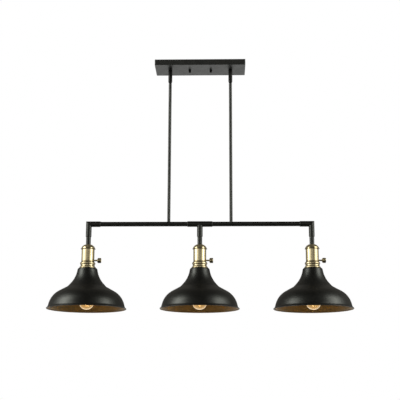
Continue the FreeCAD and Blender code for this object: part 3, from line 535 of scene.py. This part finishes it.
def ring_of_rods():
    """Straight round rods set in a ring, from an inner point to an outer one: ribs or wires."""
    wires, given = tree_with("ring_of_rods", ("Inner Radius", "Inner Height", "Outer Radius",
                                              "Outer Height", "Thickness"), ("Count",))
    rod = wires.node("GeometryNodeCurvePrimitiveLine")
    wires.link(vector(wires, given["Inner Radius"], 0.0, given["Inner Height"]),
               rod.inputs["Start"])
    wires.link(vector(wires, given["Outer Radius"], 0.0, given["Outer Height"]), rod.inputs["End"])
    spots = wires.node("GeometryNodePoints")
    wires.link(given["Count"], spots.inputs["Count"])
    step = wires.math("DIVIDE", 2 * math.pi, given["Count"])
    angle = wires.math("MULTIPLY", wires.node("GeometryNodeInputIndex").outputs[0], step)
    copies = wires.node("GeometryNodeInstanceOnPoints")
    wires.link(spots.outputs[0], copies.inputs["Points"])
    wires.link(rod.outputs[0], copies.inputs["Instance"])
    wires.link(turned_by(wires, vector(wires, z=angle)), copies.inputs["Rotation"])
    real = wires.node("GeometryNodeRealizeInstances")
    wires.link(copies.outputs[0], real.inputs["Geometry"])
    return close_tree(wires, given, sweep(wires, real.outputs[0], given["Thickness"], 8))


def wound_ridge():
    """A ridge wound round an axis: the crest of a screw thread."""
    wires, given = tree_with("wound_ridge", ("Radius", "Pitch", "Turns", "Thickness"))
    helix = wires.node("GeometryNodeCurveSpiral")
    helix.inputs["Resolution"].default_value = 28
    wires.link(given["Turns"], helix.inputs["Rotations"])
    wires.link(given["Radius"], helix.inputs["Start Radius"])
    wires.link(given["Radius"], helix.inputs["End Radius"])
    wires.link(wires.math("MULTIPLY", given["Turns"], given["Pitch"]), helix.inputs["Height"])
    return close_tree(wires, given, sweep(wires, helix.outputs[0], given["Thickness"], 6))


def caged_wire():
    """A thin wire that runs up and down round an axis, from one ring of hooks to the other."""
    wires, given = tree_with("caged_wire", ("Top Radius", "Top Height", "Bottom Radius",
                                            "Bottom Height", "Thickness"), ("Runs",))
    line = wires.node("GeometryNodeMeshLine")
    wires.link(wires.math("ADD", given["Runs"], 1.0), line.inputs["Count"])
    index = wires.node("GeometryNodeInputIndex").outputs[0]
    angle = wires.math("MULTIPLY", index, wires.math("DIVIDE", 2 * math.pi, given["Runs"]))
    lower = wires.math("MODULO", index, 2.0)
    radius = wires.ramp(lower, 0.0, 1.0, given["Top Radius"], given["Bottom Radius"])
    height = wires.ramp(lower, 0.0, 1.0, given["Top Height"], given["Bottom Height"])
    place = vector(wires, wires.math("MULTIPLY", radius, wires.math("COSINE", angle)),
                   wires.math("MULTIPLY", radius, wires.math("SINE", angle)), height)
    bent = wires.node("GeometryNodeSetPosition")
    wires.link(line.outputs[0], bent.inputs["Geometry"])
    wires.link(place, bent.inputs["Position"])
    curve = wires.node("GeometryNodeMeshToCurve")
    wires.link(bent.outputs[0], curve.inputs["Mesh"])
    hooks = wires.node("GeometryNodeFilletCurve")
    wires.link(curve.outputs[0], hooks.inputs["Curve"])
    hooks.inputs["Radius"].default_value = 0.0008
    return close_tree(wires, given, sweep(wires, hooks.outputs[0], given["Thickness"], 6))


def rolled_edge():
    """A bead all the way round a circle."""
    wires, given = tree_with("rolled_edge", ("Radius", "Thickness"))
    ring = wires.node("GeometryNodeCurvePrimitiveCircle")
    ring.inputs["Resolution"].default_value = 160
    wires.link(given["Radius"], ring.inputs["Radius"])
    return close_tree(wires, given, sweep(wires, ring.outputs["Curve"], given["Thickness"], 12))


RODS = ring_of_rods()
RIDGE = wound_ridge()
CAGE = caged_wire()
EDGE = rolled_edge()


def grow(name, tree, body, slot, Finish, Place, Turn=(0.0, 0.0, 0.0), **sizes):
    """A piece made by a tree with these sizes, kept as a plain mesh that rides on a body."""
    given = sizes | {"Finish": Finish, "Place": Place, "Turn": Turn}
    piece = bpy.data.objects.new(name, bpy.data.meshes.new(name))
    bpy.context.scene.collection.objects.link(piece)
    growth = piece.modifiers.new("growth", "NODES")
    growth.node_group = tree
    for item in tree.interface.items_tree:
        if item.item_type == "SOCKET" and item.in_out == "INPUT":
            growth[item.identifier] = given[item.name.replace(" ", "_")]
    graph = bpy.context.evaluated_depsgraph_get()
    mesh = bpy.data.meshes.new_from_object(piece.evaluated_get(graph))
    piece.modifiers.remove(growth)
    piece.data = mesh
    mesh.name = name
    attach(piece, body)
    return piece


# ---------------------------------------------------------------- pieces turned from a profile

def lathe(name, profile, x, finish, steps=64):
    """A closed turned mesh from (radius, height) corners, or from a loop of them off the axis."""
    shape = bmesh.new()
    rings = []
    for radius, height in profile:
        count = steps if radius > 0 else 1
        rings.append([shape.verts.new((x + radius * math.cos(2 * math.pi * k / steps),
                                       radius * math.sin(2 * math.pi * k / steps), height))
                      for k in range(count)])
    if profile[0][0] > 0:
        rings.append(rings[0])
    for first, second in zip(rings, rings[1:]):
        for k in range(steps):
            corners = [first[k % len(first)], first[(k + 1) % len(first)],
                       second[(k + 1) % len(second)], second[k % len(second)]]
            shape.faces.new(list(dict.fromkeys(corners)))
    bmesh.ops.recalc_face_normals(shape, faces=shape.faces)
    mesh = bpy.data.meshes.new(name)
    shape.to_mesh(mesh)
    shape.free()
    mesh.materials.append(finish)
    mesh.shade_smooth()
    mesh.set_sharp_from_angle(angle=math.radians(40))
    piece = bpy.data.objects.new(name, mesh)
    bpy.context.scene.collection.objects.link(piece)
    return piece


def cut(piece, size, place):
    """Takes a block out of a piece and leaves a plain mesh."""
    shape = bmesh.new()
    bmesh.ops.create_cube(shape, size=1.0, matrix=Matrix.Translation(place) @ Matrix.Diagonal(
        (*size, 1.0)))
    mesh = bpy.data.meshes.new("cutter")
    shape.to_mesh(mesh)
    shape.free()
    cutter = bpy.data.objects.new("cutter", mesh)
    bpy.context.scene.collection.objects.link(cutter)
    slot = piece.modifiers.new("slot", "BOOLEAN")
    slot.operation, slot.object, slot.solver = "DIFFERENCE", cutter, "EXACT"
    graph = bpy.context.evaluated_depsgraph_get()
    done = bpy.data.meshes.new_from_object(piece.evaluated_get(graph))
    piece.modifiers.remove(slot)
    piece.data = done
    bpy.data.objects.remove(cutter)


def earth_screw():
    """The slotted earth screw with its washer face, in place of the plain CAD one."""
    middle = axis_of("ground_screw")
    profile = [(0, -0.0002), (0.002, -0.0002), (0.002, -0.002), (0.00375, -0.002),
               (0.00375, -0.0027), (0.0032, -0.0029), (0.0032, -0.0039), (0.0027, -0.0044),
               (0, -0.0044)]
    screw = lathe("earth_screw", profile, middle.x, EARTH_GREEN)
    cut(screw, (0.012, 0.001, 0.002), (middle.x, 0.0, -0.0044))
    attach(screw, "ceiling_mount")
    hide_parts("ground_screw")


THREAD_SINK = 0.0001


def mount_threads(node, name, depth, **sizes):
    """Threads that start this deep under the tops of the two screws or nipples in a node."""
    low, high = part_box(node)
    radius = (high.y - low.y) / 2
    for word, x in (("left", low.x + radius), ("right", high.x - radius)):
        grow(f"{name}_{word}", RIDGE, "ceiling_mount", "zinc_steel", ZINC,
             (x, 0.0, high.z - depth), Radius=radius - THREAD_SINK, **sizes)


POST_LENGTH = 0.056


def bulb_details(side):
    """Rolled thread on the base, and the lit wire cage on its glass post inside the bulb."""
    x = lamp_x(side)
    low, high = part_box(f"bulb_base_{side}")
    grow(f"bulb_thread_{side}", RIDGE, "hanging_frame", "base_aluminium",
         bpy.data.materials[f"bulb_base_{side}"], (x, 0.0, low.z + 0.0022),
         Radius=(high.x - low.x) / 2 - THREAD_SINK, Pitch=0.0036, Turns=4.3, Thickness=0.0005)
    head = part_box(f"bulb_stem_{side}")[0].z
    foot = head - POST_LENGTH
    profile = [(0, head + 0.0004), (0.0011, head + 0.0004), (0.0011, foot + 0.004),
               (0.0016, foot + 0.0032), (0.0019, foot + 0.002), (0.0016, foot + 0.0008),
               (0.0009, foot), (0, foot - 0.0002)]
    post = lathe(f"bulb_post_{side}", profile, x, STEM_GLASS, steps=20)
    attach(post, "hanging_frame")
    rings = {"Top_Radius": 0.0065, "Top_Height": head - 0.004, "Bottom_Radius": 0.0125,
             "Bottom_Height": foot + 0.004}
    grow(f"bulb_filament_{side}", CAGE, "hanging_frame", "zinc_steel", HOT_WIRE, (x, 0.0, 0.0),
         Runs=12, Thickness=0.00022, **rings)
    grow(f"bulb_hooks_top_{side}", RODS, "hanging_frame", "zinc_steel", NICKEL, (x, 0.0, 0.0),
         Count=6, Inner_Radius=0.0024, Inner_Height=head + 0.0008,
         Outer_Radius=rings["Top_Radius"], Outer_Height=rings["Top_Height"], Thickness=0.00018)
    grow(f"bulb_hooks_foot_{side}", RODS, "hanging_frame", "zinc_steel", NICKEL, (x, 0.0, 0.0),
         Turn=(0.0, 0.0, math.pi / 6), Count=6, Inner_Radius=0.0012, Inner_Height=foot + 0.002,
         Outer_Radius=rings["Bottom_Radius"], Outer_Height=rings["Bottom_Height"],
         Thickness=0.00018)


# The holder cap's section in millimetres: radius, and height above its lip.
CAP_OUTSIDE = [(8.0, 14.8), (9.5, 14.7), (12.2, 13.8), (15.0, 12.2), (17.6, 10.1), (19.7, 7.7),
               (21.2, 5.1), (21.9, 2.9), (22.1, 2.0), (23.0, 1.9), (23.5, 1.4), (23.5, 0.6),
               (23.1, 0.0)]
CAP_INSIDE = [(20.6, 0.0), (20.6, 5.0), (19.0, 7.3), (16.9, 9.2), (14.4, 11.3), (12.0, 12.7),
              (8.0, 12.9)]


def holder_cap(side):
    """The holder's domed cap with its rolled lip, rounder than the CAD one."""
    profile = [(radius / 1000, CAP_LIP + height / 1000)
               for radius, height in CAP_OUTSIDE + CAP_INSIDE]
    cap = lathe(f"holder_cap_{side}", profile, lamp_x(side), BRASS)
    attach(cap, "hanging_frame")
    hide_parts(f"socket_cap_{side}")


RIB_START = 0.0034
RIB_END = 0.0108
RIB_SINK = 0.0001


def knob_ribs(side):
    """Grip ribs round the switch knob."""
    low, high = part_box(f"switch_knob_{side}")
    middle = (low + high) / 2
    radius = (high.z - low.z) / 2 - RIB_SINK
    grow(f"knob_ribs_{side}", RODS, f"knob_{side}", "antique_brass", BRASS,
         (low.x, middle.y, middle.z), Turn=(0.0, math.pi / 2, 0.0), Count=30, Inner_Radius=radius,
         Inner_Height=RIB_START, Outer_Radius=radius, Outer_Height=RIB_END, Thickness=0.00028)


RIM_BEAD = 0.0012
RIM_INSET = 0.0008
RIM_DROP = 0.0005


def rim_bead(side):
    """The shade's rolled edge."""
    low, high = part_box(f"shade_{side}")
    grow(f"shade_edge_{side}", EDGE, "hanging_frame", "bronze_paint",
         bpy.data.materials[f"bell_{side}"], (lamp_x(side), 0.0, low.z - RIM_DROP),
         Radius=(high.x - low.x) / 2 - RIM_INSET, Thickness=RIM_BEAD)


# ---------------------------------------------------------------- studio

FLOOR_LEVEL = -2.4
SCENE_MIDDLE = Vector((0.0, 0.0, -0.6))
SOFTBOX_BEARING = math.radians(70)
SOFTBOX_DISTANCE = 2.6
SOFTBOX_RISE = 1.2
SOFTBOX_SIZE = (3.0, 2.6)
SOFTBOX_FADE = (0.05, 0.5)
FRONT_GLOSS = 0.67
SHADOWED_GLOSS = 0.09
SIDE_GLOSS = 2.2
BELOW_GLOSS = 1.0
OVERHEAD_GLOSS = 0.02
AMBIENT = rgb(0.28, 0.275, 0.265)
WHITE = rgb(1.0, 1.0, 1.0)


def grey(level):
    return rgb(level, level, level)


def studio_world():
    """White for the camera; for gloss, bright in front, beside and below, and dark overhead.

    Each mask is a product of ramps over the way that a ray leaves: across is +X, depth is +Y.
    """
    world = bpy.data.worlds.new("studio")
    bpy.context.scene.world = world
    world.use_nodes = True
    world.node_tree.nodes.clear()
    wires = Wiring(world.node_tree)
    way = wires.node("ShaderNodeSeparateXYZ")
    wires.link(wires.node("ShaderNodeTexCoord").outputs["Generated"], way.inputs[0])
    across, depth, height = way.outputs["X"], way.outputs["Y"], way.outputs["Z"]

    def both(first, second):
        return wires.math("MULTIPLY", first, second)

    below = both(wires.ramp(height, 0.02, -0.15), wires.ramp(depth, 0.0, 0.4))
    level = both(wires.ramp(height, 0.34, 0.17), wires.ramp(height, -0.35, -0.05))
    front = both(level, wires.ramp(depth, 0.1, -0.3))
    shadowed = both(wires.ramp(across, 0.27, 0.36), wires.ramp(across, 0.6, 0.52))
    sides = wires.math("MAXIMUM", wires.ramp(across, -0.38, -0.52),
                       wires.ramp(across, 0.52, 0.64))
    beside = both(both(level, wires.ramp(depth, 0.45, 0.1)), sides)
    front_gloss = wires.mix(shadowed, grey(FRONT_GLOSS), grey(SHADOWED_GLOSS))
    gloss = wires.mix(wires.ramp(depth, -0.1, 0.3), grey(OVERHEAD_GLOSS), rgb(0.22, 0.21, 0.19))
    gloss = wires.mix(front, gloss, front_gloss)
    gloss = wires.mix(beside, gloss, grey(SIDE_GLOSS))
    gloss = wires.mix(below, gloss, grey(BELOW_GLOSS))
    ray = wires.node("ShaderNodeLightPath")
    seen = wires.math("ADD", ray.outputs["Is Camera Ray"], ray.outputs["Is Transmission Ray"],
                      clamp=True)
    unseen = wires.mix(ray.outputs["Is Glossy Ray"], AMBIENT, gloss)
    background = wires.node("ShaderNodeBackground")
    wires.link(wires.mix(seen, unseen, WHITE), background.inputs["Color"])
    output = wires.node("ShaderNodeOutputWorld")
    wires.link(background.outputs[0], output.inputs["Surface"])


def studio_floor():
    """A pale floor well below the lamp, which only sends soft light back up."""
    mesh = bpy.data.meshes.new("floor")
    shape = bmesh.new()
    bmesh.ops.create_grid(shape, x_segments=1, y_segments=1, size=12.0,
                          matrix=Matrix.Translation((0.0, 0.0, FLOOR_LEVEL)))
    shape.to_mesh(mesh)
    shape.free()
    floor = bpy.data.objects.new("floor", mesh)
    bpy.context.scene.collection.objects.link(floor)
    material, wires = new_material("floor_white")
    diffuse = wires.node("ShaderNodeBsdfDiffuse")
    diffuse.inputs["Color"].default_value = rgb(0.9, 0.9, 0.9)
    output = wires.node("ShaderNodeOutputMaterial")
    wires.link(diffuse.outputs[0], output.inputs["Surface"])
    mesh.materials.append(material)
    floor.visible_camera = False
    floor.visible_glossy = False
    floor.visible_transmission = False


def softbox(name, side, glow):
    """A large soft light at one side of the camera, aimed at the lamp and brightest inside."""
    bearing = SOFTBOX_BEARING * side
    place = SCENE_MIDDLE + Vector((math.sin(bearing), -math.cos(bearing), 0.0)) * SOFTBOX_DISTANCE
    place.z += SOFTBOX_RISE
    light = bpy.data.lights.new(name, "AREA")
    light.shape = "RECTANGLE"
    light.size, light.size_y = SOFTBOX_SIZE
    light.energy = glow * math.pi * light.size * light.size_y
    light.use_nodes = True
    light.node_tree.nodes.clear()
    wires = Wiring(light.node_tree)
    spot = wires.node("ShaderNodeVectorMath", operation="DISTANCE")
    wires.link(wires.node("ShaderNodeNewGeometry").outputs["Parametric"], spot.inputs[0])
    spot.inputs[1].default_value = (0.5, 0.5, 0.0)
    fade = wires.node("ShaderNodeMapRange", interpolation_type="SMOOTHERSTEP")
    wires.link(spot.outputs["Value"], fade.inputs["Value"])
    for name_of_end, value in (("From Min", SOFTBOX_FADE[0]), ("From Max", SOFTBOX_FADE[1]),
                               ("To Min", 1.0), ("To Max", 0.0)):
        fade.inputs[name_of_end].default_value = value
    shine = wires.node("ShaderNodeEmission")
    wires.link(fade.outputs["Result"], shine.inputs["Strength"])
    output = wires.node("ShaderNodeOutputLight")
    wires.link(shine.outputs[0], output.inputs["Surface"])
    made = bpy.data.objects.new(name, light)
    made.location = place
    made.rotation_euler = (SCENE_MIDDLE - place).to_track_quat("-Z", "Z").to_euler()
    bpy.context.scene.collection.objects.link(made)


BULB_LIGHT = 0.27
FILAMENT_MIDDLE = 0.42


def bulb_light(side):
    """The bulb's own warm light, carried by the hanging frame."""
    low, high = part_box(f"bulb_glass_{side}")
    light = bpy.data.lights.new(f"bulb_light_{side}", "POINT")
    light.energy = BULB_LIGHT
    light.color = (1.0, 0.76, 0.42)
    light.shadow_soft_size = 0.012
    made = bpy.data.objects.new(f"bulb_light_{side}", light)
    made.location = (lamp_x(side), 0.0, low.z + (high.z - low.z) * FILAMENT_MIDDLE)
    made.visible_transmission = False
    bpy.context.scene.collection.objects.link(made)
    made.parent = frame["bodies"]["hanging_frame"]


# ---------------------------------------------------------------- camera

FOCAL_PIXELS = 888.46
FRAME_PIXELS = 400.0
SENSOR_WIDTH = 36.0
CAMERA_PLACE = Vector((0.0708, -2.7963, -1.0927))
CAMERA_PITCH = math.radians(12.688)
CAMERA_YAW = math.radians(-1.447)
CAMERA_ROLL = math.radians(0.174)


def camera():
    data = bpy.data.cameras.new("photo_view")
    data.sensor_width = SENSOR_WIDTH
    data.lens = FOCAL_PIXELS / FRAME_PIXELS * SENSOR_WIDTH
    made = bpy.data.objects.new("photo_view", data)
    bpy.context.scene.collection.objects.link(made)
    forward = Vector((math.sin(CAMERA_YAW) * math.cos(CAMERA_PITCH),
                      math.cos(CAMERA_YAW) * math.cos(CAMERA_PITCH), math.sin(CAMERA_PITCH)))
    right = Vector((math.cos(CAMERA_YAW), -math.sin(CAMERA_YAW), 0.0))
    up = right.cross(forward)
    level = Matrix((right, up, -forward)).transposed().to_4x4()
    made.matrix_world = (Matrix.Translation(CAMERA_PLACE) @ level
                         @ Matrix.Rotation(CAMERA_ROLL, 4, "Z"))
    bpy.context.scene.camera = made


dress_nodes()
earth_screw()
mount_threads("canopy_studs", "stud_thread", 0.0172, Pitch=0.0008, Turns=18.0, Thickness=0.00028)
mount_threads("swivel_nipples", "nipple_thread", 0.0042, Pitch=0.001, Turns=3.8, Thickness=0.00035)
for lamp_side in SIDES:
    holder_cap(lamp_side)
    bulb_details(lamp_side)
    knob_ribs(lamp_side)
    rim_bead(lamp_side)
studio_world()
studio_floor()
softbox("softbox_left", -1, glow=13.5)
softbox("softbox_right", 1, glow=12.0)
for lamp_side in SIDES:
    bulb_light(lamp_side)
camera()
bpy.context.scene.view_settings.view_transform = "Standard"
